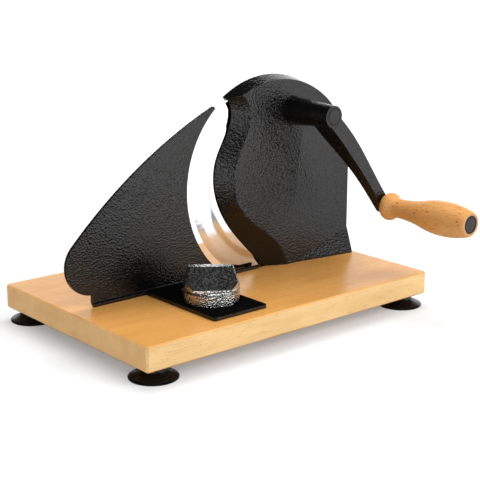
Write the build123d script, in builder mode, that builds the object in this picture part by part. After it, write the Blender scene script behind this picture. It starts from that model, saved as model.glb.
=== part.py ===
from build123d import *
import math
import os

os.makedirs("parts", exist_ok=True)

# Hand-cranked bread slicer. Millimetres, +Z up. X runs along the board, and the crank
# stands on the side of -Y. Places written as "from left" and "from front" are measured
# from the board's front left corner, and heights "above board" from its top face.
# The housing stands at the board's right end, and the blade takes its place from it.

# ---------------------------------------------------------------- driving dimensions

# Base board
board_length = 330.0
board_depth = 222.0
board_thickness = 22.0
board_corner_chamfer = 1.8
board_edge_chamfer = 1.2

# Suction cups
cup_radius = 21.0
cup_height = 11.5
cup_neck_radius = 11.0
cup_lip = 1.4
cup_rim_width = 2.2
cup_neck_height = 3.5
cup_waist_radius = 14.0
cup_waist_height = 4.6
cup_hollow = 3.4
cup_from_end = 18.0
cup_from_side = 17.0
cup_screw_radius = 2.5
cup_screw_head_radius = 5.0
cup_screw_head_height = 2.6
cup_screw_bite = 14.0

# Blade, and the gear that turns it
blade_radius = 95.0
blade_dip = 10.5
blade_cut_from_front = 118.4
blade_sheet = 1.2
blade_dish = 1.4
dish_inner_radius = 75.0
dish_outer_radius = 78.0
bevel_radius = 88.0
slot_side_gap = 2.4
slot_end_gap = 4.0
slot_floor_gap = 2.5

# Gears
gear_module = 2.0
gear_teeth = 47
pinion_teeth = 22
gear_face = 6.0
pinion_face = 5.4
pressure_angle = 20.0
backlash = 0.30
root_gap = 0.25
root_overlap = 0.3
shaft_bearing_angle = 73.2
gear_web_radius = 34.0
gear_web_depth = 1.5
gear_hub_radius = 13.0

# Bearings and fits
running_gap = 0.05
side_gap = 0.1
thrust_gap = 0.5
spindle_radius = 6.0
spindle_flange_radius = 15.0
spindle_flange = 2.2
spindle_spigot_radius = 5.0
spindle_spigot = 2.2
blade_bush_wall = 2.0
spindle_washer_radius = 10.0
spindle_washer_thickness = 1.3
spindle_screw_radius = 2.5
spindle_screw_length = 8.0
spindle_screw_head_radius = 5.0
spindle_screw_head = 1.6
spindle_screw_chamfer = 0.8
rivet_circle_radius = 20.0
rivet_radius = 2.0
rivet_head_radius = 3.4
rivet_head = 1.0
rivet_count = 3
rivet_start_angle = 45.0

# Housing
housing_front_from_front = 103.5
housing_wall = 3.2
arch_wall_extra = 0.4
hood_front_past_blade = 2.3
hood_rear_past_blade = 6.0
hood_bore_gap = 2.2
hood_back_past_cut = 1.1
side_draft = 6.5
ridge_round = 4.0
front_inset = 1.5
rear_inset = 4.6
throat_gap = 1.2
wall_from_right_end = 4.5
wall_inside_arch = 3.3
cavity_below_board_top = 5.0
foot_inside_wall = 1.5
foot_front_from_front = 93.6
foot_back_flare = 2.0
foot_height = 25.0
foot_edge = 2.2
foot_crease_to_wall = 69.5
foot_crown_width = 1.0
foot_crown_proud = 0.3
foot_overlap = 0.1
boss_radius = 14.0
boss_height = 4.5
inner_boss_radius = 11.0
housing_screw_radius = 2.5
housing_screw_head_radius = 4.6
housing_screw_head_height = 3.5
housing_screw_recess = 10.0
housing_screw_bite = 9.0
housing_post_radius = 5.5
housing_post_roof = 2.0
front_screws_past_blade = (17.0, 55.0)
front_screw_set_back = 6.2
corner_screw_set_back = 8.0

# Crank
crank_radius = 108.0
crank_angle = -56.2
shaft_radius = 5.0
bush_wall = 2.5
hub_gap = 0.3
hub_length = 47.5
hub_back_radius = 13.0
hub_end_radius = 10.2
hub_cap_radius = 8.3
hub_cap_thickness = 2.0
hub_cap_proud = 0.6
cross_pin_radius = 2.0
cross_pin_from_end = 36.0
cross_pin_past_end_radius = 1.2
shaft_set_back = 4.0
arm_end_radius = 7.8
arm_end_depth = 8.0
arm_end_taper = 2.0

# Grip
grip_from_front = 37.0
grip_length = 101.0
grip_back_radius = 11.0
grip_collar_radius = 13.4
grip_collar_length = 9.3
grip_collar_drop = 0.9
grip_neck_at = 16.5
grip_neck_radius = 9.3
grip_waist_to = 47.0
grip_waist_radius = 13.15
grip_end_round = 4.0
grip_shoulder_radius = 12.7
grip_end_radius = 10.6
grip_bore_gap = 0.05
pin_radius = 4.0
pin_head_radius = 6.5
pin_head_height = 4.0
pin_head_gap = 0.5
cap_radius = 8.5
cap_thickness = 3.0
cap_recess = 9.0
grip_gap = 0.3

# Fence
sheet = 3.0
sheet_lift = 0.1
fence_front_from_front = 113.2
fence_lip = 2.4
fence_arc_gap = 5.8
fence_arc_shift = 2.5
fence_left = -1.5
fence_lobe_radius = 26.5
fence_lobe_above_board = 37.0
fence_tip_angle = 126.5
fence_top_bulge = 10.0
fence_notch_from_left = 24.0
fence_lobe_start = 134.0
fence_lobe_end = 264.0
fence_bend_radius = 1.5
fence_tip_round = 1.6
strip_end_before_blade = 18.5
bracket_from_left = 79.5
bracket_width = 59.0
bracket_front_from_front = 14.5
bracket_corner = 3.0
fence_travel_out = 14.0
fence_travel_in = 2.0

# Clamp
clamp_from_left = 110.7
clamp_from_front = 57.5
stud_radius = 4.0
stud_head_radius = 10.0
stud_head_height = 4.0
stud_square_height = 4.0
slot_gap = 0.4
clamp_washer_radius = 11.0
clamp_washer_thickness = 2.0
insert_wall = 3.0
insert_height = 12.0
stud_past_insert = 3.0
stud_head_room = 1.0
knob_radius = 25.0
knob_base_height = 9.0
knob_height = 28.0
knob_turned = -36.0
knob_clearance = 0.2
knob_neck_radius = 22.0
knob_lip_height = 11.0
knob_lip = 2.0
knob_lip_forward = 1.0
knob_grip_depth = 36.0
knob_grip_corner = 5.0
knob_crest_length = 40.0
knob_crest_depth = 8.0
knob_crest_back = 8.0
knob_crest_corner = 3.0
guide_pin_radius = 3.0
guide_pin_drop = 4.0
guide_pin_gap = 0.15
guide_pin_offsets = (-23.0, 38.0)

# How far a cut runs past what it cuts
overcut = 1.0

# ---------------------------------------------------------------- places worked out

# The frame's origin is the middle of the whole object's footprint, on the table.
grip_front_from_front = grip_from_front - grip_length
footprint_back = board_depth + cup_radius - cup_from_side
board_front = -(footprint_back + grip_front_from_front) / 2
board_left = -board_length / 2
board_right = board_left + board_length
board_back = board_front + board_depth
board_bottom = cup_height
board_top = board_bottom + board_thickness

hood_front_radius = blade_radius + hood_front_past_blade
hood_rear_radius = blade_radius + hood_rear_past_blade
wall_x = board_right - wall_from_right_end
blade_x = wall_x + wall_inside_arch - hood_front_radius
blade_above_board = blade_radius - blade_dip
blade_z = board_top + blade_above_board
cut_y = board_front + blade_cut_from_front
blade_rim_y = cut_y - blade_sheet
blade_seat_y = blade_rim_y - blade_dish
gear_back_y = blade_seat_y
gear_front_y = gear_back_y - gear_face
blade_bore_y = blade_seat_y + blade_sheet

front_y = board_front + housing_front_from_front
cavity_y = front_y + housing_wall
throat_y = blade_seat_y - throat_gap
hood_back_y = cut_y + hood_back_past_cut
hood_bore_radius = blade_radius + hood_bore_gap
boss_y = front_y - boss_height

centre_distance = gear_module * (gear_teeth + pinion_teeth) / 2
shaft_x = blade_x + centre_distance * math.cos(math.radians(shaft_bearing_angle))
shaft_z = blade_z + centre_distance * math.sin(math.radians(shaft_bearing_angle))
hub_back_y = boss_y - hub_gap
hub_end_y = hub_back_y - hub_length
bush_radius = shaft_radius + bush_wall
blade_bush_radius = spindle_radius + blade_bush_wall

grip_x = shaft_x + crank_radius * math.cos(math.radians(crank_angle))
grip_z = shaft_z + crank_radius * math.sin(math.radians(crank_angle))
grip_back_y = board_front + grip_from_front
grip_front_y = grip_back_y - grip_length

fence_y = board_front + fence_front_from_front
fence_back_y = fence_y + sheet
fence_arc_x = blade_x - fence_arc_shift
fence_arc_radius = blade_radius + fence_arc_gap
sheet_bottom = board_top + sheet_lift
sheet_top = sheet_bottom + sheet
clamp_x = board_left + clamp_from_left
clamp_y = board_front + clamp_from_front
bracket_x = board_left + bracket_from_left
bracket_front_y = board_front + bracket_front_from_front
stud_square = 2 * stud_radius
insert_radius = stud_radius + insert_wall


def upright(y, x=0.0, z=0.0):
    """A sketch plane across the blade's axis: local x is +X and local y is +Z."""
    return Plane(origin=(x, y, z), x_dir=(1, 0, 0), z_dir=(0, -1, 0))


def polar(x, z, radius, angle):
    turn = math.radians(angle)
    return (x + radius * math.cos(turn), z + radius * math.sin(turn))


def inset(points, depth):
    """Points moved sideways by depth, to the right of the way the curve runs up."""
    moved = []
    for index, (x, z) in enumerate(points):
        before = points[max(index - 1, 0)]
        after = points[min(index + 1, len(points) - 1)]
        run = (after[0] - before[0], after[1] - before[1])
        size = math.hypot(*run)
        moved.append((x - depth * run[1] / size, z + depth * run[0] / size))
    return moved


# ---------------------------------------------------------------- base board

cup_places = {
    "front_left": (board_left + cup_from_end, board_front + cup_from_side),
    "front_right": (board_right - cup_from_end, board_front + cup_from_side),
    "back_left": (board_left + cup_from_end, board_back - cup_from_side),
    "back_right": (board_right - cup_from_end, board_back - cup_from_side),
}
housing_screw_places = [(blade_x + x, front_y + front_screw_set_back) for x in front_screws_past_blade]
housing_screw_places.append((wall_x - corner_screw_set_back, front_y + corner_screw_set_back))
cup_seat_radius = cup_screw_head_radius + 1.0
slot_half_length = math.sqrt(blade_radius**2 - blade_above_board**2) + slot_end_gap
slot_width = blade_sheet + blade_dish + 2 * slot_side_gap
slot_middle_y = (blade_seat_y + cut_y) / 2
slot_depth = blade_dip + slot_floor_gap
guide_width = 2 * (guide_pin_radius + guide_pin_gap)
guide_travel = fence_travel_out + fence_travel_in
guide_middle = (fence_travel_in - fence_travel_out) / 2
guide_length = guide_travel + guide_width + 2 * side_gap

with BuildPart() as base_board:
    with BuildSketch(Plane.XY.offset(board_bottom)):
        with Locations((0, board_front + board_depth / 2)):
            Rectangle(board_length, board_depth)
    extrude(amount=board_thickness)
    chamfer(base_board.edges().filter_by(Axis.Z), board_corner_chamfer)
    chamfer(base_board.faces().sort_by(Axis.Z)[-1].edges(), board_edge_chamfer)
    chamfer(base_board.faces().sort_by(Axis.Z)[0].edges(), board_edge_chamfer)
    # Slot that the bottom of the blade dips into
    with BuildSketch(Plane.XY.offset(board_top)):
        with Locations((blade_x, slot_middle_y)):
            SlotOverall(2 * slot_half_length, slot_width)
    extrude(amount=-slot_depth, mode=Mode.SUBTRACT)
    # Grooves for the fence's guide pins
    with BuildSketch(Plane.XY.offset(board_top)):
        for offset_y in guide_pin_offsets:
            with Locations((clamp_x, clamp_y + offset_y + guide_middle)):
                SlotOverall(guide_length, guide_width, rotation=90)
    extrude(amount=-(guide_pin_drop + side_gap), mode=Mode.SUBTRACT)
    # Blind holes for the cups' screws
    with BuildSketch(Plane.XY.offset(board_bottom)):
        with Locations(*cup_places.values()):
            Circle(cup_screw_radius)
    extrude(amount=cup_screw_bite, mode=Mode.SUBTRACT)
    # Recessed holes for the housing's screws
    with BuildSketch(Plane.XY.offset(board_bottom)):
        with Locations(*housing_screw_places):
            Circle(housing_screw_radius)
    extrude(amount=board_thickness, mode=Mode.SUBTRACT)
    with BuildSketch(Plane.XY.offset(board_bottom)):
        with Locations(*housing_screw_places):
            Circle(housing_screw_head_radius)
    extrude(amount=housing_screw_recess, mode=Mode.SUBTRACT)
    # Hole for the clamp's stud, with its square neck and its head
    with BuildSketch(Plane.XY.offset(board_bottom)):
        with Locations((clamp_x, clamp_y)):
            Circle(stud_radius)
    extrude(amount=board_thickness, mode=Mode.SUBTRACT)
    with BuildSketch(Plane.XY.offset(board_bottom)):
        with Locations((clamp_x, clamp_y)):
            Rectangle(stud_square, stud_square)
    extrude(amount=stud_head_height + stud_square_height, mode=Mode.SUBTRACT)
    with BuildSketch(Plane.XY.offset(board_bottom)):
        with Locations((clamp_x, clamp_y)):
            Circle(stud_head_radius)
    extrude(amount=stud_head_height, mode=Mode.SUBTRACT)
base_board.part.label = "base_board"
export_step(base_board.part, "parts/base_board.step")

# ---------------------------------------------------------------- suction cups

for corner, (cup_x, cup_y) in cup_places.items():
    with BuildPart() as suction_cup:
        with BuildSketch(Plane.XZ.offset(-cup_y)):
            with BuildLine():
                lip = Line((cup_x + cup_radius - cup_rim_width, 0), (cup_x + cup_radius, 0))
                edge = Line(lip @ 1, (cup_x + cup_radius, cup_lip))
                Polyline(
                    edge @ 1,
                    (cup_x + cup_waist_radius, cup_waist_height),
                    (cup_x + cup_neck_radius, cup_height - cup_neck_height),
                    (cup_x + cup_neck_radius, cup_height),
                    (cup_x + cup_screw_radius, cup_height),
                    (cup_x + cup_screw_radius, cup_hollow),
                    (cup_x + cup_seat_radius, cup_hollow),
                    lip @ 0,
                )
            make_face()
        revolve(axis=Axis((cup_x, cup_y, 0), (0, 0, 1)))
    name = "suction_cup_" + corner
    suction_cup.part.label = name
    export_step(suction_cup.part, "parts/" + name + ".step")

with BuildPart() as cup_screws:
    with BuildSketch(Plane.XY.offset(cup_hollow)):
        with Locations(*cup_places.values()):
            Circle(cup_screw_radius)
    extrude(amount=board_bottom + cup_screw_bite - cup_hollow)
    with BuildSketch(Plane.XY.offset(cup_hollow)):
        with Locations(*cup_places.values()):
            Circle(cup_screw_head_radius)
    extrude(amount=-cup_screw_head_height)
cup_screws.part.label = "cup_screws"
export_step(cup_screws.part, "parts/cup_screws.step")

# ---------------------------------------------------------------- housing

# The throat is the S-shaped edge beside the fence. Its points run from the top down, in
# shares of the blade's radius about the blade's centre: first the rear edge, next to the
# blade, then the ridge where the side wall turns into the front.
rear_shape = [
    (-0.568, 0.841),
    (-0.529, 0.684),
    (-0.582, 0.534),
    (-0.724, 0.248),
    (-0.726, -0.042),
    (-0.549, -0.407),
    (-0.404, -0.575),
]
ridge_shape = [
    (-0.478, 0.900),
    (-0.375, 0.684),
    (-0.413, 0.526),
    (-0.563, 0.226),
    (-0.572, -0.053),
    (-0.394, -0.339),
    (-0.226, -0.466),
]
rear_foot_share = -0.113
ridge_foot_share = 0.125


def throat_points(shape, foot_share):
    points = [(blade_x + blade_radius * x, blade_z + blade_radius * z) for x, z in shape]
    return points + [(blade_x + blade_radius * foot_share, board_top)]


def case_section(y, points, arch_radius, side_x, floor_z):
    """The case cut across at y: throat curve, arch, right wall and floor."""
    top_angle = math.degrees(math.atan2(points[0][1] - blade_z, points[0][0] - blade_x))
    start = polar(blade_x, blade_z, arch_radius, top_angle)
    end_angle = math.degrees(math.acos((side_x - blade_x) / arch_radius))
    middle = polar(blade_x, blade_z, arch_radius, (top_angle + end_angle) / 2)
    end = polar(blade_x, blade_z, arch_radius, end_angle)
    foot = (points[-1][0], floor_z)
    with BuildSketch(upright(y)) as section:
        with BuildLine():
            Spline(start, *points[1:-1], foot)
            ThreePointArc(start, middle, end)
            Line(end, (side_x, floor_z))
            Line((side_x, floor_z), foot)
        make_face()
    return section.sketch


def arch_at(y):
    share = (y - front_y) / (hood_back_y - front_y)
    return hood_front_radius + share * (hood_rear_radius - hood_front_radius)


def side_at(y):
    return wall_x + side_draft * (y - front_y) / (hood_back_y - front_y)


rear_points = throat_points(rear_shape, rear_foot_share)
ridge_points = throat_points(ridge_shape, ridge_foot_share)
arch_wall = housing_wall + arch_wall_extra
cavity_floor_z = board_top - cavity_below_board_top
foot_x = wall_x - foot_inside_wall
foot_front_y = board_front + foot_front_from_front
crease_x = wall_x - foot_crease_to_wall
foot_top = board_top + foot_height
bush_back_y = gear_front_y - thrust_gap

with BuildPart() as housing:
    # Case, drawn out from its front to the throat
    add(case_section(front_y, ridge_points, arch_at(front_y), side_at(front_y), board_top))
    add(case_section(throat_y, rear_points, arch_at(throat_y), side_at(throat_y), board_top))
    loft(ruled=True)
    ridge = housing.edges().filter_by(GeomType.BSPLINE).sort_by(Axis.Y)[0]
    fillet(ridge, ridge_round)
    # Hood and corner web behind the throat, back to the bread side
    add(case_section(throat_y, rear_points, arch_at(throat_y), side_at(throat_y), board_top))
    add(case_section(hood_back_y, rear_points, arch_at(hood_back_y), side_at(hood_back_y), board_top))
    loft(ruled=True)
    # Flared foot at the lower right corner
    foot_outline = [
        (crease_x, front_y),
        (foot_x, foot_front_y),
        (side_at(hood_back_y) + foot_back_flare, hood_back_y),
        (wall_x, hood_back_y),
        (wall_x, front_y + foot_overlap),
    ]
    foot_crown = [
        (wall_x - foot_crown_width, front_y),
        (wall_x + foot_crown_proud, front_y - foot_overlap),
        (side_at(hood_back_y), hood_back_y),
        (wall_x, hood_back_y),
        (wall_x - foot_crown_width + foot_overlap, front_y + foot_overlap),
    ]
    with BuildSketch(Plane.XY.offset(board_top)):
        with BuildLine():
            Polyline(*foot_outline, close=True)
        make_face()
    extrude(amount=foot_edge)
    with BuildSketch(Plane.XY.offset(board_top + foot_edge)):
        with BuildLine():
            Polyline(*foot_outline, close=True)
        make_face()
    with BuildSketch(Plane.XY.offset(foot_top)):
        with BuildLine():
            Polyline(*foot_crown, close=True)
        make_face()
    loft(ruled=True)
    # Hollow of the case, open at the throat and at the board
    add(
        case_section(
            cavity_y,
            inset(ridge_points, front_inset),
            arch_at(cavity_y) - arch_wall,
            side_at(cavity_y) - housing_wall,
            cavity_floor_z,
        )
    )
    add(
        case_section(
            throat_y,
            inset(rear_points, rear_inset),
            arch_at(throat_y) - arch_wall,
            side_at(throat_y) - housing_wall,
            cavity_floor_z,
        )
    )
    loft(ruled=True, mode=Mode.SUBTRACT)
    # Round opening that the blade turns in
    with BuildSketch(upright(throat_y, blade_x, blade_z)):
        Circle(hood_bore_radius)
    extrude(amount=-(hood_back_y - throat_y), mode=Mode.SUBTRACT)
    # Bearing boss of the crank, outside and inside, and the seat of the spindle
    with BuildSketch(upright(boss_y, shaft_x, shaft_z)):
        Circle(boss_radius)
    extrude(amount=-(front_y - boss_y))
    with BuildSketch(upright(cavity_y, shaft_x, shaft_z)):
        Circle(inner_boss_radius)
    extrude(amount=-(bush_back_y - cavity_y))
    with BuildSketch(upright(boss_y, shaft_x, shaft_z)):
        Circle(bush_radius)
    extrude(amount=-(bush_back_y - boss_y), mode=Mode.SUBTRACT)
    with BuildSketch(upright(cavity_y, blade_x, blade_z)):
        Circle(spindle_spigot_radius)
    extrude(amount=spindle_spigot, mode=Mode.SUBTRACT)
    # Posts that take the screws from under the board
    with BuildSketch(Plane.XY.offset(board_top)):
        with Locations(*housing_screw_places):
            Circle(housing_post_radius)
    extrude(amount=housing_screw_bite + housing_post_roof)
    with BuildSketch(Plane.XY.offset(board_top)):
        with Locations(*housing_screw_places):
            Circle(housing_screw_radius)
    extrude(amount=housing_screw_bite, mode=Mode.SUBTRACT)
housing.part.label = "housing"
export_step(housing.part, "parts/housing.step")

with BuildPart() as housing_screws:
    with BuildSketch(Plane.XY.offset(board_bottom + housing_screw_recess)):
        with Locations(*housing_screw_places):
            Circle(housing_screw_head_radius - running_gap)
    extrude(amount=-housing_screw_head_height)
    with BuildSketch(Plane.XY.offset(board_bottom + housing_screw_recess)):
        with Locations(*housing_screw_places):
            Circle(housing_screw_radius)
    extrude(amount=board_thickness - housing_screw_recess + housing_screw_bite)
housing_screws.part.label = "housing_screws"
export_step(housing_screws.part, "parts/housing_screws.step")

# ---------------------------------------------------------------- blade and its spindle

blade_axis = Axis((blade_x, 0, blade_z), (0, 1, 0))
grip_axis = Axis((grip_x, 0, grip_z), (0, 1, 0))

with BuildPart() as blade:
    with BuildSketch(Plane.XY.offset(blade_z)):
        with BuildLine():
            Polyline(
                (blade_x + blade_bush_radius, blade_seat_y),
                (blade_x + dish_inner_radius, blade_seat_y),
                (blade_x + dish_outer_radius, blade_rim_y),
                (blade_x + bevel_radius, blade_rim_y),
                (blade_x + blade_radius, cut_y),
                (blade_x + dish_outer_radius, cut_y),
                (blade_x + dish_inner_radius, blade_bore_y),
                (blade_x + blade_bush_radius, blade_bore_y),
                close=True,
            )
        make_face()
    revolve(axis=blade_axis)
    with BuildSketch(upright(blade_seat_y, blade_x, blade_z)):
        with PolarLocations(rivet_circle_radius, rivet_count, start_angle=rivet_start_angle):
            Circle(rivet_radius)
    extrude(amount=-blade_sheet, mode=Mode.SUBTRACT)
blade.part.label = "blade"
export_step(blade.part, "parts/blade.step")


def involute(angle):
    return math.tan(angle) - angle


def gear_outline(teeth, first_tooth):
    """Spur gear with involute flanks, one tooth pointing along first_tooth degrees."""
    pitch = gear_module * teeth / 2
    slant = math.radians(pressure_angle)
    base = pitch * math.cos(slant)
    root = pitch - (1 + root_gap) * gear_module
    tip = pitch + gear_module
    half_at_pitch = (math.pi * gear_module - backlash) / (4 * pitch)

    def flank(radius):
        reach = max(radius, base)
        half = half_at_pitch + involute(slant) - involute(math.acos(base / reach))
        return (radius * math.cos(half), radius * math.sin(half))

    low = flank(root - root_overlap)
    middle = flank(pitch)
    end = flank(tip)
    with BuildSketch(mode=Mode.PRIVATE) as tooth:
        with BuildLine():
            side = Polyline(low, middle, end)
            mirror(side, about=Plane.XZ)
            Line(end, (end[0], -end[1]))
            Line(low, (low[0], -low[1]))
        make_face()
    Circle(root)
    with PolarLocations(0, teeth, start_angle=first_tooth):
        add(tooth.sketch)


with BuildPart() as blade_gear:
    with BuildSketch(upright(gear_front_y, blade_x, blade_z)):
        gear_outline(gear_teeth, shaft_bearing_angle + 180 / gear_teeth)
    extrude(amount=-gear_face)
    with BuildSketch(upright(gear_front_y, blade_x, blade_z)):
        Circle(gear_web_radius)
        Circle(gear_hub_radius, mode=Mode.SUBTRACT)
    extrude(amount=-gear_web_depth, mode=Mode.SUBTRACT)
    with BuildSketch(upright(gear_front_y, blade_x, blade_z)):
        Circle(blade_bush_radius)
        with PolarLocations(rivet_circle_radius, rivet_count, start_angle=rivet_start_angle):
            Circle(rivet_radius)
    extrude(amount=-gear_face, mode=Mode.SUBTRACT)
blade_gear.part.label = "blade_gear"
export_step(blade_gear.part, "parts/blade_gear.step")

with BuildPart() as gear_rivets:
    with BuildSketch(upright(blade_bore_y, blade_x, blade_z)):
        with PolarLocations(rivet_circle_radius, rivet_count, start_angle=rivet_start_angle):
            Circle(rivet_radius)
    extrude(amount=blade_bore_y - gear_front_y - gear_web_depth)
    with BuildSketch(upright(blade_bore_y, blade_x, blade_z)):
        with PolarLocations(rivet_circle_radius, rivet_count, start_angle=rivet_start_angle):
            Circle(rivet_head_radius)
    extrude(amount=-rivet_head)
gear_rivets.part.label = "gear_rivets"
export_step(gear_rivets.part, "parts/gear_rivets.step")

bush_front_y = cavity_y + spindle_flange + side_gap
with BuildPart() as blade_bush:
    with BuildSketch(upright(bush_front_y, blade_x, blade_z)):
        Circle(blade_bush_radius)
        Circle(spindle_radius + running_gap, mode=Mode.SUBTRACT)
    extrude(amount=-(blade_bore_y - bush_front_y))
blade_bush.part.label = "blade_bush"
export_step(blade_bush.part, "parts/blade_bush.step")

spindle_end_y = blade_bore_y + side_gap
with BuildPart() as blade_spindle:
    with BuildSketch(upright(cavity_y, blade_x, blade_z)):
        Circle(spindle_spigot_radius)
    extrude(amount=spindle_spigot)
    with BuildSketch(upright(cavity_y, blade_x, blade_z)):
        Circle(spindle_flange_radius)
    extrude(amount=-spindle_flange)
    with BuildSketch(upright(cavity_y, blade_x, blade_z)):
        Circle(spindle_radius)
    extrude(amount=-(spindle_end_y - cavity_y))
    with BuildSketch(upright(spindle_end_y, blade_x, blade_z)):
        Circle(spindle_screw_radius)
    extrude(amount=spindle_screw_length, mode=Mode.SUBTRACT)
blade_spindle.part.label = "blade_spindle"
export_step(blade_spindle.part, "parts/blade_spindle.step")

with BuildPart() as spindle_washer:
    with BuildSketch(upright(spindle_end_y, blade_x, blade_z)):
        Circle(spindle_washer_radius)
        Circle(spindle_screw_radius, mode=Mode.SUBTRACT)
    extrude(amount=-spindle_washer_thickness)
spindle_washer.part.label = "spindle_washer"
export_step(spindle_washer.part, "parts/spindle_washer.step")

washer_back_y = spindle_end_y + spindle_washer_thickness
with BuildPart() as spindle_screw:
    with BuildSketch(upright(washer_back_y, blade_x, blade_z)):
        Circle(spindle_screw_radius)
    extrude(amount=spindle_screw_length + spindle_washer_thickness)
    with BuildSketch(upright(washer_back_y, blade_x, blade_z)):
        Circle(spindle_screw_head_radius)
    extrude(amount=-spindle_screw_head)
    head_rim = spindle_screw.edges().filter_by(GeomType.CIRCLE).sort_by(Axis.Y)[-1]
    chamfer(head_rim, spindle_screw_chamfer)
spindle_screw.part.label = "spindle_screw"
export_step(spindle_screw.part, "parts/spindle_screw.step")

# ---------------------------------------------------------------- crank

pinion_front_y = gear_front_y
pinion_back_y = pinion_front_y + pinion_face

with BuildPart() as crank_bush:
    with BuildSketch(upright(boss_y, shaft_x, shaft_z)):
        Circle(bush_radius)
        Circle(shaft_radius + running_gap, mode=Mode.SUBTRACT)
    extrude(amount=-(bush_back_y - boss_y))
crank_bush.part.label = "crank_bush"
export_step(crank_bush.part, "parts/crank_bush.step")

shaft_front_y = hub_end_y + hub_cap_thickness + shaft_set_back
with BuildPart() as crank_shaft:
    with BuildSketch(upright(shaft_front_y, shaft_x, shaft_z)):
        Circle(shaft_radius)
    extrude(amount=-(pinion_back_y - shaft_front_y))
    with BuildSketch(Plane.XY.offset(shaft_z)):
        with Locations((shaft_x, hub_end_y + cross_pin_from_end)):
            Circle(cross_pin_radius)
    extrude(amount=shaft_radius + overcut, both=True, mode=Mode.SUBTRACT)
crank_shaft.part.label = "crank_shaft"
export_step(crank_shaft.part, "parts/crank_shaft.step")

with BuildPart() as drive_pinion:
    with BuildSketch(upright(pinion_front_y, shaft_x, shaft_z)):
        gear_outline(pinion_teeth, shaft_bearing_angle + 180)
    extrude(amount=-pinion_face)
    with BuildSketch(upright(pinion_front_y, shaft_x, shaft_z)):
        Circle(shaft_radius)
    extrude(amount=-pinion_face, mode=Mode.SUBTRACT)
drive_pinion.part.label = "drive_pinion"
export_step(drive_pinion.part, "parts/drive_pinion.step")

arm_turn = math.radians(crank_angle)
arm_along = Vector(math.cos(arm_turn), 0, math.sin(arm_turn))
arm_across = Vector(-math.sin(arm_turn), 0, math.cos(arm_turn))

# Cuts across the arm, from the hub outwards: distance along it, then its front and back
# behind the hub's end, its low and high edge, and how far the two sides flare backwards.
arm_cuts = [
    (0.0, 2.0, 24.0, -8.5, 5.5, 0.5, 1.0),
    (28.0, -1.5, 17.2, -4.9, 9.5, 2.0, 1.0),
    (55.0, -5.2, 8.0, -3.6, 9.2, 2.0, 1.0),
    (80.0, -9.8, 0.6, -4.0, 6.6, 2.0, 0.8),
]


def arm_section(along, front, back, low, high, low_draft, high_draft):
    """One cut across the arm: front and back are set back from the hub's end."""
    middle = Vector(shaft_x, hub_end_y, shaft_z) + arm_along * along
    cut = Plane(origin=middle, x_dir=arm_across, z_dir=arm_along)
    with BuildSketch(cut) as section:
        with BuildLine():
            Polyline(
                (low, -front),
                (high, -front),
                (high + high_draft, -back),
                (low - low_draft, -back),
                close=True,
            )
        make_face()
    return section.sketch


arm_end_y = grip_back_y + grip_gap
end_front = arm_end_y - hub_end_y
end_back = end_front + arm_end_depth
end_low = -arm_end_radius
end_high = arm_end_radius - arm_end_taper
with BuildPart() as crank_arm:
    for cut in arm_cuts:
        add(arm_section(*cut))
    add(arm_section(crank_radius, end_front, end_back, end_low, end_high, 0, 0))
    loft()
    # Round pad at the end, which the grip's pin is riveted into
    with BuildSketch(upright(arm_end_y, grip_x, grip_z)):
        Circle(arm_end_radius)
    extrude(amount=-arm_end_depth)
    with BuildSketch(upright(hub_back_y, shaft_x, shaft_z)):
        Circle(hub_back_radius)
    with BuildSketch(upright(hub_end_y, shaft_x, shaft_z)):
        Circle(hub_end_radius)
    loft(ruled=True)
    with BuildSketch(upright(hub_back_y, shaft_x, shaft_z)):
        Circle(shaft_radius)
    extrude(amount=hub_back_y - shaft_front_y, mode=Mode.SUBTRACT)
    with BuildSketch(upright(hub_end_y, shaft_x, shaft_z)):
        Circle(hub_cap_radius)
    extrude(amount=-hub_cap_thickness, mode=Mode.SUBTRACT)
    with BuildSketch(Plane.XY.offset(shaft_z)):
        with Locations((shaft_x, hub_end_y + cross_pin_from_end)):
            Circle(cross_pin_radius)
    extrude(amount=hub_back_radius + overcut, both=True, mode=Mode.SUBTRACT)
    with BuildSketch(upright(grip_back_y, grip_x, grip_z)):
        Circle(pin_radius)
    extrude(amount=-(grip_gap + arm_end_depth + overcut), mode=Mode.SUBTRACT)
crank_arm.part.label = "crank_arm"
export_step(crank_arm.part, "parts/crank_arm.step")

with BuildPart() as hub_cap:
    with BuildSketch(upright(hub_end_y + hub_cap_thickness, shaft_x, shaft_z)):
        Circle(hub_cap_radius)
    extrude(amount=hub_cap_thickness + hub_cap_proud)
    chamfer(hub_cap.edges().sort_by(Axis.Y)[0], hub_cap_proud)
hub_cap.part.label = "hub_cap"
export_step(hub_cap.part, "parts/hub_cap.step")

with BuildPart() as arm_cross_pin:
    with BuildSketch(Plane.XY.offset(shaft_z)):
        with Locations((shaft_x, hub_end_y + cross_pin_from_end)):
            Circle(cross_pin_radius)
    extrude(amount=hub_end_radius + cross_pin_past_end_radius, both=True)
arm_cross_pin.part.label = "arm_cross_pin"
export_step(arm_cross_pin.part, "parts/arm_cross_pin.step")

# ---------------------------------------------------------------- grip

pin_head_y = grip_front_y + cap_recess
with BuildPart() as handle_pin:
    with BuildSketch(upright(pin_head_y, grip_x, grip_z)):
        Circle(pin_radius)
    extrude(amount=-(grip_back_y + grip_gap + arm_end_depth - pin_head_y))
    with BuildSketch(upright(pin_head_y - side_gap, grip_x, grip_z)):
        Circle(pin_head_radius)
    extrude(amount=pin_head_height)
    with BuildSketch(upright(pin_head_y, grip_x, grip_z)):
        Circle(pin_radius)
    extrude(amount=side_gap)
handle_pin.part.label = "handle_pin"
export_step(handle_pin.part, "parts/handle_pin.step")


def grip_point(along, radius):
    """A point of the grip's outline, at a distance from the arm."""
    return (grip_x + radius, grip_back_y - along)


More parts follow.
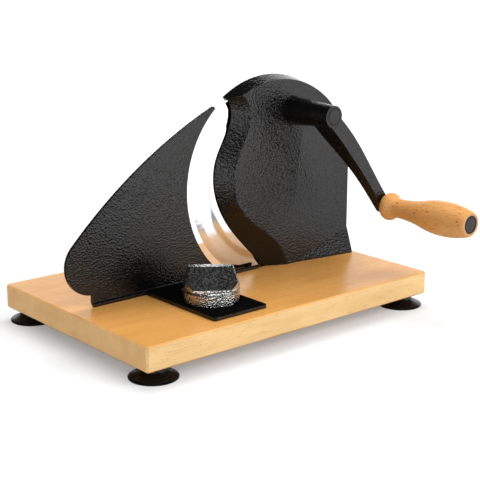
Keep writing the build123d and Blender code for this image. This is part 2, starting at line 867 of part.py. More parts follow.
with BuildPart() as handle_grip:
    with BuildSketch(Plane.XY.offset(grip_z)):
        with BuildLine():
            bore = pin_radius + grip_bore_gap
            back_edge = grip_point(0, grip_back_radius)
            collar_end = grip_point(grip_collar_length, grip_back_radius + grip_collar_drop)
            collar_top = grip_point(grip_collar_length / 2, grip_collar_radius)
            collar = ThreePointArc(back_edge, collar_top, collar_end)
            neck_end = grip_point(grip_neck_at, grip_neck_radius)
            neck = TangentArc(collar @ 1, neck_end, tangent=collar % 1)
            waist_end = grip_point(grip_waist_to, grip_waist_radius)
            waist = TangentArc(neck @ 1, waist_end, tangent=neck % 1)
            belly_end = grip_point(grip_length - grip_end_round, grip_shoulder_radius)
            belly = TangentArc(waist @ 1, belly_end, tangent=waist % 1)
            front_edge = grip_point(grip_length, grip_end_radius)
            shoulder = TangentArc(belly @ 1, front_edge, tangent=belly % 1)
            Polyline(
                shoulder @ 1,
                (grip_x + cap_radius, grip_front_y),
                (grip_x + cap_radius, grip_front_y + cap_thickness),
                (grip_x + pin_head_radius + pin_head_gap, grip_front_y + cap_thickness),
                (grip_x + pin_head_radius + pin_head_gap, pin_head_y),
                (grip_x + bore, pin_head_y),
                (grip_x + bore, grip_back_y),
                collar @ 0,
            )
        make_face()
    revolve(axis=grip_axis)
handle_grip.part.label = "handle_grip"
export_step(handle_grip.part, "parts/handle_grip.step")

with BuildPart() as grip_cap:
    with BuildSketch(upright(grip_front_y + cap_thickness, grip_x, grip_z)):
        Circle(cap_radius)
    extrude(amount=cap_thickness)
grip_cap.part.label = "grip_cap"
export_step(grip_cap.part, "parts/grip_cap.step")

# ---------------------------------------------------------------- fence

lobe_x = board_left + fence_left + fence_lobe_radius
lobe_z = board_top + fence_lobe_above_board
notch_x = board_left + fence_notch_from_left
strip_end_x = blade_x - strip_end_before_blade
arc_drop = blade_z - sheet_top
arc_foot_angle = 180 + math.degrees(math.asin(arc_drop / fence_arc_radius))
tip = polar(fence_arc_x, blade_z, fence_arc_radius, fence_tip_angle)
arc_foot = polar(fence_arc_x, blade_z, fence_arc_radius, arc_foot_angle)
arc_middle = polar(fence_arc_x, blade_z, fence_arc_radius, (fence_tip_angle + arc_foot_angle) / 2)
lobe_top = polar(lobe_x, lobe_z, fence_lobe_radius, fence_lobe_start)
lobe_side = polar(lobe_x, lobe_z, fence_lobe_radius, (fence_lobe_start + fence_lobe_end) / 2)
lobe_foot = polar(lobe_x, lobe_z, fence_lobe_radius, fence_lobe_end)
top_run = (tip[0] - lobe_top[0], tip[1] - lobe_top[1])
top_size = math.hypot(*top_run)
top_middle = (
    (tip[0] + lobe_top[0]) / 2 - fence_top_bulge * top_run[1] / top_size,
    (tip[1] + lobe_top[1]) / 2 + fence_top_bulge * top_run[0] / top_size,
)
lip_y = fence_y - fence_lip
slot_middle = (fence_travel_out - fence_travel_in) / 2
slot_length = fence_travel_out + fence_travel_in + 2 * (stud_radius + slot_gap)

with BuildPart() as fence_plate:
    # Bent sheet: an upright wall with a rounded bend and a short lip at its foot
    with BuildSketch(Plane.YZ.offset(board_left + fence_left - overcut)) as bend:
        with BuildLine():
            Polyline(
                (fence_back_y, tip[1] + overcut),
                (fence_back_y, sheet_bottom),
                (lip_y, sheet_bottom),
                (lip_y, sheet_top),
                (fence_y, sheet_top),
                (fence_y, tip[1] + overcut),
                close=True,
            )
        make_face()
        inner_corner = bend.vertices().sort_by_distance((fence_y, sheet_top, 0))[0]
        fillet(inner_corner, fence_bend_radius)
        outer_corner = bend.vertices().sort_by_distance((fence_back_y, sheet_bottom, 0))[0]
        fillet(outer_corner, fence_bend_radius + sheet)
    extrude(amount=strip_end_x - board_left - fence_left + overcut)
    # Its outline, with the concave edge round the blade and the strip at its foot
    with BuildSketch(upright(lip_y - overcut)) as outline:
        with BuildLine():
            ThreePointArc(arc_foot, arc_middle, tip)
            ThreePointArc(tip, top_middle, lobe_top)
            ThreePointArc(lobe_top, lobe_side, lobe_foot)
            Polyline(
                lobe_foot,
                (notch_x, lobe_foot[1]),
                (notch_x, sheet_bottom),
                (strip_end_x, sheet_bottom),
                (strip_end_x, sheet_top),
                arc_foot,
            )
        make_face()
        fillet(outline.vertices().sort_by(Axis.Y)[-1], fence_tip_round)
    extrude(amount=-(sheet + fence_lip + 2 * overcut), mode=Mode.INTERSECT)
    # Past the concave edge the strip keeps clear of the blade
    with BuildSketch(Plane.XY.offset(sheet_bottom)):
        with Locations(((arc_foot[0] + strip_end_x) / 2, (fence_y + fence_back_y) / 2)):
            Rectangle(strip_end_x - arc_foot[0], sheet)
    extrude(amount=sheet, mode=Mode.SUBTRACT)
    # Bracket that runs forward under the knob
    with BuildSketch(Plane.XY.offset(sheet_bottom)) as bracket:
        with Locations((bracket_x + bracket_width / 2, (bracket_front_y + lip_y) / 2)):
            Rectangle(bracket_width, lip_y - bracket_front_y)
        fillet(bracket.vertices().group_by(Axis.Y)[0], bracket_corner)
    extrude(amount=sheet)
    # Slot for the clamp's stud, and holes for the guide pins
    with BuildSketch(Plane.XY.offset(sheet_bottom)):
        with Locations((clamp_x, clamp_y + slot_middle)):
            SlotOverall(slot_length, 2 * (stud_radius + slot_gap), rotation=90)
        with Locations(*[(clamp_x, clamp_y + offset_y) for offset_y in guide_pin_offsets]):
            Circle(guide_pin_radius)
    extrude(amount=sheet, mode=Mode.SUBTRACT)
fence_plate.part.label = "fence_plate"
export_step(fence_plate.part, "parts/fence_plate.step")

with BuildPart() as guide_pins:
    with BuildSketch(Plane.XY.offset(sheet_top)):
        with Locations(*[(clamp_x, clamp_y + offset_y) for offset_y in guide_pin_offsets]):
            Circle(guide_pin_radius)
    extrude(amount=-(sheet_top - board_top + guide_pin_drop))
guide_pins.part.label = "guide_pins"
export_step(guide_pins.part, "parts/guide_pins.step")

# ---------------------------------------------------------------- clamp and knob

washer_bottom = sheet_top + running_gap
washer_top = washer_bottom + clamp_washer_thickness
knob_bottom = sheet_top + knob_clearance
insert_bottom = washer_top + running_gap
insert_top = insert_bottom + insert_height
stud_top = insert_top + stud_past_insert

with BuildPart() as clamp_stud:
    with BuildSketch(Plane.XY.offset(board_bottom)):
        with Locations((clamp_x, clamp_y)):
            Circle(stud_head_radius)
    extrude(amount=stud_head_height)
    with BuildSketch(Plane.XY.offset(board_bottom)):
        with Locations((clamp_x, clamp_y)):
            Rectangle(stud_square, stud_square)
    extrude(amount=stud_head_height + stud_square_height)
    with BuildSketch(Plane.XY.offset(board_bottom)):
        with Locations((clamp_x, clamp_y)):
            Circle(stud_radius)
    extrude(amount=stud_top - board_bottom)
clamp_stud.part.label = "clamp_stud"
export_step(clamp_stud.part, "parts/clamp_stud.step")

with BuildPart() as clamp_washer:
    with BuildSketch(Plane.XY.offset(washer_bottom)):
        with Locations((clamp_x, clamp_y)):
            Circle(clamp_washer_radius)
            Circle(stud_radius + slot_gap, mode=Mode.SUBTRACT)
    extrude(amount=clamp_washer_thickness)
clamp_washer.part.label = "clamp_washer"
export_step(clamp_washer.part, "parts/clamp_washer.step")

with BuildPart() as knob_insert:
    with BuildSketch(Plane.XY.offset(insert_bottom)):
        with Locations((clamp_x, clamp_y)):
            Circle(insert_radius)
            Circle(stud_radius + running_gap, mode=Mode.SUBTRACT)
    extrude(amount=insert_height)
knob_insert.part.label = "knob_insert"
export_step(knob_insert.part, "parts/knob_insert.step")


def knob_plane(height):
    """Level plane above the knob's underside, with local x along its grip."""
    turn = math.radians(knob_turned)
    return Plane(
        origin=(clamp_x, clamp_y, knob_bottom + height),
        x_dir=(math.cos(turn), math.sin(turn), 0),
        z_dir=(0, 0, 1),
    )


with BuildPart() as clamp_knob:
    # Raised grip across the top, its face tilted forward
    with BuildSketch(knob_plane(knob_lip_height)):
        with Locations((0, -knob_lip_forward)):
            RectangleRounded(2 * knob_radius, knob_grip_depth, knob_grip_corner)
    extrude(amount=knob_lip)
    with BuildSketch(knob_plane(knob_lip_height + knob_lip)):
        with Locations((0, -knob_lip_forward)):
            RectangleRounded(2 * knob_radius, knob_grip_depth, knob_grip_corner)
    with BuildSketch(knob_plane(knob_height)):
        with Locations((0, knob_crest_back)):
            RectangleRounded(knob_crest_length, knob_crest_depth, knob_crest_corner)
    loft(ruled=True)
    with BuildSketch(knob_plane(0)):
        Circle(knob_radius)
    extrude(amount=knob_height, mode=Mode.INTERSECT)
    # Round base and the neck above it
    with BuildSketch(knob_plane(0)):
        Circle(knob_radius)
    extrude(amount=knob_base_height)
    with BuildSketch(knob_plane(knob_base_height)):
        Circle(knob_neck_radius)
    extrude(amount=knob_lip_height - knob_base_height)
    # Hollow underneath for the washer, the insert and the stud
    with BuildSketch(knob_plane(0)):
        Circle(clamp_washer_radius + slot_gap)
    extrude(amount=insert_bottom - knob_bottom, mode=Mode.SUBTRACT)
    with BuildSketch(knob_plane(0)):
        Circle(insert_radius)
    extrude(amount=insert_top - knob_bottom, mode=Mode.SUBTRACT)
    with BuildSketch(knob_plane(0)):
        Circle(stud_radius + slot_gap)
    extrude(amount=stud_top + stud_head_room - knob_bottom, mode=Mode.SUBTRACT)
clamp_knob.part.label = "clamp_knob"
export_step(clamp_knob.part, "parts/clamp_knob.step")
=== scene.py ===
"""Looks of a hand-cranked bread slicer: beech board, black hammer-finish casting and fence,
polished blade, silver clamp knob and a crank with a turned beech grip. Metres, +Z up; the
board runs along X and the crank stands on the side of -Y."""

import math

import bmesh
import bpy
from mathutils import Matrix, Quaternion, Vector


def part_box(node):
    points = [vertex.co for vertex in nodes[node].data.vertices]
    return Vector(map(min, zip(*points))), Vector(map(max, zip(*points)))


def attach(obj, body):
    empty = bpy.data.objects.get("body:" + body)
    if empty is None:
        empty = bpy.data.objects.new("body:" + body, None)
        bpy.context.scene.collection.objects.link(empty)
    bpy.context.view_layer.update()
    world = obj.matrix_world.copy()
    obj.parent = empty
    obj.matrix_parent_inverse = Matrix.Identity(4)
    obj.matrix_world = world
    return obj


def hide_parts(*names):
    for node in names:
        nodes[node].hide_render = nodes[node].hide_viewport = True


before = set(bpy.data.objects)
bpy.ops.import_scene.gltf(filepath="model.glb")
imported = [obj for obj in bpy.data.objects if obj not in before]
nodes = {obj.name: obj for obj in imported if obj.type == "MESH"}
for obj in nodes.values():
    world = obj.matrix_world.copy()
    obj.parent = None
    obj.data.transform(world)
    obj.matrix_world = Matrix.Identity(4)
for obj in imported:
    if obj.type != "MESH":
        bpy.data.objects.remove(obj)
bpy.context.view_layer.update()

MM = 0.001
FULL_TURN = 2 * math.pi
UP = "XYZ".index("Z")

# ---------------------------------------------------------------- finishes

# Where a Mix node keeps its factor, its two colours and, among its outputs, the mixed colour.
MIX_FACTOR, MIX_FIRST, MIX_SECOND = 0, 6, 7
MIXED = 2


class Nodes:
    """Short ways to add shader nodes to a tree and to join them."""

    def __init__(self, tree):
        self.tree = tree

    def node(self, kind, **settings):
        made = self.tree.nodes.new(kind)
        for name, value in settings.items():
            setattr(made, name, value)
        return made

    def link(self, source, target):
        self.tree.links.new(source, target)

    def feed(self, value, target):
        """Gives a socket its value: the output of another node, a colour or a number."""
        if isinstance(value, bpy.types.NodeSocket):
            self.link(value, target)
        elif isinstance(value, tuple):
            target.default_value = (*value, 1)
        else:
            target.default_value = value

    def math(self, operation, first, second=0.0):
        made = self.node("ShaderNodeMath", operation=operation)
        self.feed(first, made.inputs[0])
        self.feed(second, made.inputs[1])
        return made.outputs[0]

    def ramp(self, factor, *stops):
        """A colour, or a grey number, for each place along factor."""
        made = self.node("ShaderNodeValToRGB")
        elements = made.color_ramp.elements
        while len(elements) < len(stops):
            elements.new(0.5)
        for element, (place, value) in zip(elements, stops):
            element.position = place
            element.color = (*value, 1) if isinstance(value, tuple) else (value, value, value, 1)
        self.link(factor, made.inputs["Fac"])
        return made.outputs["Color"]

    def parts(self, vector):
        """The X, Y and Z sockets of a vector."""
        split = self.node("ShaderNodeSeparateXYZ")
        self.link(vector, split.inputs[0])
        return split.outputs

    def glowing(self, strength):
        """White emission whose strength comes from a socket."""
        made = self.node("ShaderNodeEmission")
        self.link(strength, made.inputs["Strength"])
        return made.outputs[0]

    def blend(self, factor, first, second):
        """Two shaders mixed."""
        made = self.node("ShaderNodeMixShader")
        for socket, source in zip(made.inputs, (factor, first, second)):
            self.link(source, socket)
        return made.outputs[0]


class Finish(Nodes):
    """A surface finish whose pattern is read from Object coordinates, in metres."""

    def __init__(self, name, colour, roughness, metallic=0.0, ior=1.5):
        self.material = bpy.data.materials.new(name)
        self.material.use_nodes = True
        super().__init__(self.material.node_tree)
        self.shader = self.tree.nodes["Principled BSDF"]
        self.shader.inputs["Base Color"].default_value = (*colour, 1)
        self.shader.inputs["Roughness"].default_value = roughness
        self.shader.inputs["Metallic"].default_value = metallic
        self.shader.inputs["IOR"].default_value = ior
        self.coordinates = self.node("ShaderNodeTexCoord")

    def place(self, stretch=(1, 1, 1), centre=(0, 0, 0), wobble=0.0, wobble_size=0.01):
        """Object coordinates about centre, scaled by stretch and bent by a slow noise."""
        mapping = self.node("ShaderNodeMapping")
        mapping.inputs["Scale"].default_value = stretch
        mapping.inputs["Location"].default_value = [-c * s for c, s in zip(centre, stretch)]
        self.link(self.coordinates.outputs["Object"], mapping.inputs["Vector"])
        if not wobble:
            return mapping.outputs["Vector"]
        noise = self.node("ShaderNodeTexNoise")
        noise.inputs["Scale"].default_value = 1 / wobble_size
        self.link(self.coordinates.outputs["Object"], noise.inputs["Vector"])
        shift = self.node("ShaderNodeVectorMath", operation="MULTIPLY_ADD")
        shift.inputs[1].default_value = (wobble, wobble, wobble)
        self.link(noise.outputs["Color"], shift.inputs[0])
        self.link(mapping.outputs["Vector"], shift.inputs[2])
        return shift.outputs["Vector"]

    def noise(self, vector, size, detail=2.0, rough=0.5):
        made = self.node("ShaderNodeTexNoise")
        made.inputs["Scale"].default_value = 1 / size
        made.inputs["Detail"].default_value = detail
        made.inputs["Roughness"].default_value = rough
        self.link(vector, made.inputs["Vector"])
        return made.outputs["Fac"]

    def dimples(self, vector, size):
        """How far it is to the middle of the nearest dimple, with the ridges softened."""
        made = self.node("ShaderNodeTexVoronoi", feature="SMOOTH_F1")
        made.inputs["Scale"].default_value = 1 / size
        made.inputs["Smoothness"].default_value = 0.35
        self.link(vector, made.inputs["Vector"])
        return made.outputs["Distance"]

    def mix(self, factor, first, second, blend="MIX"):
        """Two colours mixed."""
        made = self.node("ShaderNodeMix", data_type="RGBA", blend_type=blend)
        for value, socket in ((factor, MIX_FACTOR), (first, MIX_FIRST), (second, MIX_SECOND)):
            self.feed(value, made.inputs[socket])
        return made.outputs[MIXED]

    def facing(self, axis):
        """How squarely the surface faces along an axis, from 0 to 1."""
        return self.math("ABSOLUTE", self.parts(self.coordinates.outputs["Normal"])[axis])

    def colour(self, source):
        self.link(source, self.shader.inputs["Base Color"])

    def roughness(self, source):
        self.link(source, self.shader.inputs["Roughness"])

    def bump(self, height, depth):
        made = self.node("ShaderNodeBump")
        made.inputs["Distance"].default_value = depth
        self.link(height, made.inputs["Height"])
        self.link(made.outputs["Normal"], self.shader.inputs["Normal"])


def oiled_beech(name, grain_axis, face_tone, painted_light_side_tone, end_grain_and_light_tone, fleck_tone, fleck_length):
    """Beech with its fibres along one axis: fine streaks, soft bands and small dark flecks;
    upright sides and end faces get tones of their own that carry painted light.
    """
    along = "XYZ".index(grain_axis)
    untinted = (1.0, 1.0, 1.0)

    def stretched(across):
        return tuple(1 if axis == along else across for axis in range(3))

    wood = Finish(name, face_tone, 0.28)
    bands = wood.noise(wood.place(stretched(5), wobble=0.01, wobble_size=0.15), 0.09, 2)
    fibres = wood.noise(wood.place(stretched(26)), 0.030, 5, 0.6)
    flecks = wood.noise(wood.place(stretched(7)), fleck_length, 1)
    # Upright sides take a paler, yellower tone than lying faces: partly the wood's own hue,
    # partly painted light where the front lamp falls.
    tone = wood.mix(wood.facing(UP), painted_light_side_tone, face_tone)
    # End faces take their own tone: the end grain's hue, with its brightness set as painted
    # light on the board.
    tone = wood.mix(wood.ramp(wood.facing(along), (0.7, 0.0), (0.95, 1.0)), tone, end_grain_and_light_tone)
    for pattern, dark, shade, light in (
        (bands, 0.32, (0.90, 0.86, 0.80), 0.68),
        (fibres, 0.30, (0.86, 0.80, 0.72), 0.62),
        (flecks, 0.28, fleck_tone, 0.36),
    ):
        shading = wood.ramp(pattern, (dark, shade), (light, untinted))
        tone = wood.mix(1.0, tone, shading, "MULTIPLY")
    wood.colour(tone)
    wood.roughness(wood.ramp(fibres, (0.3, 0.36), (0.7, 0.24)))
    wood.bump(fibres, 0.04 * MM)
    return wood.material


def hammer_finish(
    name, colour, roughness, metallic, dimple_size, dimple_depth, fleck, lying_gloss=0.5
):
    """Hammered enamel: dimples with a fleck in each, and a gloss of its own on level faces."""
    paint = Finish(name, colour, roughness, metallic, ior=1.45)
    bent = paint.place(wobble=0.8 * dimple_size, wobble_size=2 * dimple_size)
    spots = paint.dimples(bent, dimple_size)
    patches = paint.noise(paint.place(), 0.012, 3)
    shade = paint.ramp(spots, (0.15, fleck), (0.75, colour))
    paint.colour(paint.mix(paint.ramp(patches, (0.35, 0.0), (0.65, 0.35)), shade, colour))
    paint.roughness(paint.ramp(patches, (0.3, roughness * 0.85), (0.7, roughness * 1.25)))
    paint.bump(spots, dimple_depth)
    gloss = paint.ramp(paint.facing(UP), (0.85, 0.5), (0.98, lying_gloss))
    paint.link(gloss, paint.shader.inputs["Specular IOR Level"])
    return paint.material


def polished_blade_steel(centre):
    """Ground and polished round: very fine rings about the blade's axis."""
    ring_width = 0.6 * MM
    steel = Finish("blade_polish", (0.86, 0.86, 0.87), 0.08, 1.0)
    from_axis = steel.node("ShaderNodeVectorMath", operation="LENGTH")
    steel.link(steel.place((1, 0, 1), (centre.x, 0, centre.z)), from_axis.inputs[0])
    rings = steel.node("ShaderNodeTexNoise", noise_dimensions="1D")
    rings.inputs["Scale"].default_value = 1 / ring_width
    rings.inputs["Detail"].default_value = 3
    steel.link(from_axis.outputs["Value"], rings.inputs["W"])
    ring = rings.outputs["Fac"]
    smears = steel.noise(steel.place(), 0.05, 3)
    steel.roughness(steel.ramp(smears, (0.3, 0.07), (0.7, 0.16)))
    steel.colour(steel.ramp(ring, (0.3, (0.78, 0.78, 0.79)), (0.7, (0.90, 0.90, 0.91))))
    steel.bump(ring, 0.004 * MM)
    return steel.material


def turned_metal(name, colour, roughness):
    """Plain machined metal with faint cutting marks and a little handling haze."""
    metal = Finish(name, colour, roughness, 1.0)
    marks = metal.noise(metal.place((1, 30, 1)), 0.02, 4)
    haze = metal.noise(metal.place(), 0.008, 3)
    hazed = tuple(0.82 * channel for channel in colour)
    metal.colour(metal.ramp(haze, (0.3, hazed), (0.7, colour)))
    metal.roughness(metal.ramp(haze, (0.3, roughness * 0.8), (0.7, roughness * 1.3)))
    metal.bump(marks, 0.01 * MM)
    return metal.material


def moulded(name, colour, roughness, grain_size, grain_depth):
    """Moulded rubber or plastic with a faint grain."""
    skin = Finish(name, colour, roughness, ior=1.4)
    grain = skin.noise(skin.place(), grain_size, 3)
    cloud = skin.noise(skin.place(), 0.01, 2)
    paler = tuple(1.35 * channel for channel in colour)
    skin.colour(skin.ramp(cloud, (0.35, colour), (0.7, paler)))
    skin.roughness(skin.ramp(cloud, (0.3, roughness * 0.85), (0.7, roughness * 1.2)))
    skin.bump(grain, grain_depth)
    return skin.material


blade_low, blade_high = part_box("blade")
blade_centre = (blade_low + blade_high) / 2

board_beech = oiled_beech(
    "board_beech",
    "X",
    face_tone=(0.77, 0.39, 0.105),
    # Paler upright sides: partly the wood's hue, partly painted light from the front lamp.
    painted_light_side_tone=(0.88, 0.61, 0.29),
    # Paler end faces: the end grain's hue, with painted light in its brightness.
    end_grain_and_light_tone=(0.89, 0.57, 0.27),
    fleck_tone=(0.86, 0.77, 0.66),
    fleck_length=6.0 * MM,
)
grip_beech = oiled_beech(
    "grip_beech",
    "Y",
    face_tone=(0.77, 0.38, 0.120),
    painted_light_side_tone=(0.77, 0.38, 0.120),
    end_grain_and_light_tone=(0.60, 0.30, 0.10),
    fleck_tone=(0.50, 0.36, 0.22),
    fleck_length=8.5 * MM,
)
black_hammer = hammer_finish(
    "black_hammer",
    (0.002, 0.002, 0.002),
    roughness=0.07,
    metallic=0.0,
    dimple_size=1.8 * MM,
    dimple_depth=0.40 * MM,
    fleck=(0.005, 0.005, 0.005),
)
fence_black = hammer_finish(
    "fence_black",
    (0.002, 0.002, 0.002),
    roughness=0.07,
    metallic=0.0,
    dimple_size=1.7 * MM,
    dimple_depth=0.34 * MM,
    fleck=(0.005, 0.005, 0.005),
    lying_gloss=0.0,
)
silver_hammer = hammer_finish(
    "silver_hammer",
    (0.74, 0.73, 0.72),
    roughness=0.14,
    metallic=1.0,
    dimple_size=1.6 * MM,
    dimple_depth=0.55 * MM,
    fleck=(0.18, 0.18, 0.18),
)
blade_polish = polished_blade_steel(blade_centre)
bright_steel = turned_metal("bright_steel", (0.62, 0.62, 0.63), 0.28)
sintered_bronze = turned_metal("sintered_bronze", (0.62, 0.42, 0.20), 0.42)
black_rubber = moulded("black_rubber", (0.003, 0.003, 0.003), 0.25, 0.8 * MM, 0.01 * MM)
grey_plastic = moulded("grey_plastic", (0.012, 0.012, 0.013), 0.35, 0.6 * MM, 0.02 * MM)

# ---------------------------------------------------------------- making pieces

SAME_POINT = 0.01 * MM
SAME_SPUN_POINT = 0.005 * MM
FLAT_WITHIN = math.radians(0.3)
EDGE_SEGMENTS = 3


def coat(thing, material):
    """Gives a piece or a node its one material."""
    thing.data.materials.clear()
    thing.data.materials.append(material)


def settle(piece, body, material, node):
    """Gives a finished piece its material and its body, and hides the node it stands in for."""
    coat(piece, material)
    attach(piece, body)
    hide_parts(node)


def piece_from(shape, name, sharp_angle=35.0):
    """A new object from a bmesh, smooth but for the edges sharper than the angle."""
    mesh = bpy.data.meshes.new(name)
    shape.to_mesh(mesh)
    shape.free()
    mesh.shade_smooth()
    mesh.set_sharp_from_angle(angle=math.radians(sharp_angle))
    piece = bpy.data.objects.new(name, mesh)
    bpy.context.scene.collection.objects.link(piece)
    return piece


def merged_copy(node):
    """The node's mesh with its triangles joined, and its flat faces made whole."""
    shape = bmesh.new()
    shape.from_mesh(nodes[node].data)
    bmesh.ops.remove_doubles(shape, verts=shape.verts, dist=SAME_POINT)
    bmesh.ops.dissolve_limit(
        shape, angle_limit=FLAT_WITHIN, verts=shape.verts, edges=shape.edges
    )
    return shape


def eased_piece(node, name, body, material, edge_round, sharp_angle):
    """The node's own form with every hard edge eased, as paint or sanding leaves it."""
    piece = piece_from(merged_copy(node), name, sharp_angle)
    ease = piece.modifiers.new("edges", "BEVEL")
    ease.width = edge_round
    ease.segments = EDGE_SEGMENTS
    ease.limit_method = "ANGLE"
    ease.angle_limit = math.radians(sharp_angle)
    settle(piece, body, material, node)


def spun(profile, axis_point, axis, steps):
    """A closed bmesh from profile points turned a full circle about an axis."""
    shape = bmesh.new()
    verts = [shape.verts.new(point) for point in profile]
    edges = [shape.edges.new(pair) for pair in zip(verts, verts[1:])]
    bmesh.ops.spin(
        shape,
        geom=verts + edges,
        cent=axis_point,
        axis=axis,
        angle=FULL_TURN,
        steps=steps,
        use_merge=True,
        use_duplicate=False,
    )
    bmesh.ops.remove_doubles(shape, verts=shape.verts, dist=SAME_SPUN_POINT)
    bmesh.ops.recalc_face_normals(shape, faces=shape.faces)
    return shape


# ---------------------------------------------------------------- board and cups

CUP_NODES = "suction_cup_"
CUP_STEPS = 72
CUP_NECK = 11.0 * MM
CUP_BORE = 2.5 * MM

eased_piece("base_board", "beech_board", "base", board_beech, 0.5 * MM, 30)


def suction_cup(node):
    """Rubber cup: a stepped neck, a curved skirt and a thin lip, hollow underneath."""
    low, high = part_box(node)
    centre = (low + high) / 2
    reach = (high.x - low.x) / 2
    height = high.z - low.z
    outside = [
        (CUP_BORE, height),
        (CUP_NECK - 0.6 * MM, height),
        (CUP_NECK, height - 0.6 * MM),
        (CUP_NECK, 7.6 * MM),
        (CUP_NECK + 0.4 * MM, 6.9 * MM),
        (CUP_NECK + 1.4 * MM, 5.6 * MM),
        (CUP_NECK + 3.2 * MM, 4.3 * MM),
        (CUP_NECK + 5.6 * MM, 3.1 * MM),
        (CUP_NECK + 8.0 * MM, 2.2 * MM),
        (reach - 0.5 * MM, 1.6 * MM),
        (reach, 1.0 * MM),
        (reach - 0.2 * MM, 0.1 * MM),
        (reach - 0.7 * MM, 0.0),
    ]
    inside = [
        (reach - 2.2 * MM, 0.4 * MM),
        (15.0 * MM, 2.4 * MM),
        (10.0 * MM, 3.3 * MM),
        (CUP_BORE, 3.4 * MM),
        (CUP_BORE, height),
    ]
    profile = [(centre.x + r, centre.y, low.z + z) for r, z in outside + inside]
    shape = spun(profile, centre, (0, 0, 1), CUP_STEPS)
    piece = piece_from(shape, "cup_of_" + node.removeprefix(CUP_NODES), 40)
    settle(piece, "base", black_rubber, node)


for cup_node in sorted(name for name in nodes if name.startswith(CUP_NODES)):
    suction_cup(cup_node)

# ---------------------------------------------------------------- housing and fence

eased_piece("housing", "cast_housing", "base", black_hammer, 1.0 * MM, 28)
eased_piece("fence_plate", "painted_fence", "fence", fence_black, 0.5 * MM, 30)

# ---------------------------------------------------------------- blade

BLADE_TEETH = 100
STEPS_PER_TOOTH = 5
TOOTH_DEPTH = 0.45 * MM
BLADE_SHEET = 1.2 * MM
BLADE_BORE = 8.0 * MM
SEAT_RADIUS = 40.0 * MM
DISH_FROM, DISH_TO, BEVEL_FROM = 71.0 * MM, 79.0 * MM, 88.0 * MM
DISH_STEPS = 8
EDGE_THICKNESS = 0.12 * MM


def serrated_blade():
    """Dished disc with a ground bevel, whose edge and bevel are cut in shallow scallops."""
    radius = (blade_high.x - blade_low.x) / 2
    seat, back = blade_low.y, blade_high.y
    rim = back - BLADE_SHEET
    dish = []
    for step in range(DISH_STEPS + 1):
        share = step / DISH_STEPS
        ease = 0.5 - 0.5 * math.cos(math.pi * share)
        dish.append((DISH_FROM + share * (DISH_TO - DISH_FROM), ease * (rim - seat)))
    front = [(r, seat + rise) for r, rise in dish]
    rear = [(r, seat + BLADE_SHEET + rise) for r, rise in reversed(dish)]
    profile = [
        (BLADE_BORE, seat),
        (SEAT_RADIUS, seat),
        *front,
        (BEVEL_FROM, rim),
        (BEVEL_FROM + 0.4 * MM, rim + 0.02 * MM),
        (radius, back - EDGE_THICKNESS),
        (radius, back),
        *rear,
        (BLADE_BORE, seat + BLADE_SHEET),
        (BLADE_BORE, seat),
    ]
    points = [(blade_centre.x + r, y, blade_centre.z) for r, y in profile]
    shape = spun(points, blade_centre, (0, 1, 0), BLADE_TEETH * STEPS_PER_TOOTH)
    # Past the middle of the bevel stands nothing but the cutting edge.
    bevel_middle = (BEVEL_FROM + radius) / 2
    for vert in shape.verts:
        out = Vector((vert.co.x - blade_centre.x, 0, vert.co.z - blade_centre.z))
        if out.length > bevel_middle:
            turn = math.atan2(out.z, out.x) * BLADE_TEETH
            vert.co -= out.normalized() * TOOTH_DEPTH * (0.5 + 0.5 * math.cos(turn))
    piece = piece_from(shape, "serrated_blade", 12)
    settle(piece, "blade_unit", blade_polish, "blade")


serrated_blade()

# ---------------------------------------------------------------- crank

DISC_STEPS = 64

eased_piece("crank_arm", "cast_crank_arm", "crank", black_hammer, 0.8 * MM, 35)


def domed_disc(node, name, body, material, dome, groove):
    """Round cap facing the front: a soft dome inside a narrow groove and rim."""
    low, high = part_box(node)
    centre = (low + high) / 2
    radius = (high.x - low.x) / 2
    face = low.y
    profile = [
        (0.0, face),
        (0.35 * radius, face + 0.10 * dome),
        (0.62 * radius, face + 0.38 * dome),
        (0.84 * radius, face + 0.80 * dome),
        (0.88 * radius, face + dome + groove),
        (0.91 * radius, face + dome + groove),
        (0.94 * radius, face + 0.75 * dome),
        (0.98 * radius, face + 0.80 * dome),
        (radius, face + dome + 0.3 * MM),
        (radius, high.y),
        (0.0, high.y),
    ]
    points = [(centre.x + r, y, centre.z) for r, y in profile]
    shape = spun(points, centre, (0, 1, 0), DISC_STEPS)
    settle(piece_from(shape, name, 50), body, material, node)


domed_disc("hub_cap", "domed_hub_cap", "crank", grey_plastic, 0.5 * MM, 0.25 * MM)
domed_disc("grip_cap", "domed_grip_cap", "grip", grey_plastic, 0.6 * MM, 0.3 * MM)
eased_piece("handle_grip", "turned_grip", "grip", grip_beech, 0.3 * MM, 40)

# ---------------------------------------------------------------- knob

eased_piece("clamp_knob", "hammered_knob", "knob", silver_hammer, 0.9 * MM, 30)

# ---------------------------------------------------------------- nodes shown as they are

SHOWN_AS_MADE = {
    bright_steel: (
        "blade_gear",
        "drive_pinion",
        "crank_shaft",
        "blade_spindle",
        "spindle_washer",
        "spindle_screw",
        "gear_rivets",
        "housing_screws",
        "cup_screws",
        "handle_pin",
        "arm_cross_pin",
        "clamp_stud",
        "clamp_washer",
        "guide_pins",
    ),
    sintered_bronze: ("knob_insert", "crank_bush", "blade_bush"),
}
for metal, names in SHOWN_AS_MADE.items():
    for node in names:
        coat(nodes[node], metal)

# ---------------------------------------------------------------- floor, light and camera

WHITE = (1.0, 1.0, 1.0, 1.0)
GLOSS_WHITE = 2.2  # how strongly the studio's white shows in gloss
EVEN_LIGHT = 0.82
FLOOR_REACH = 6.0
MIDDLE = (0, 0, 0.08)  # what the lamps point at


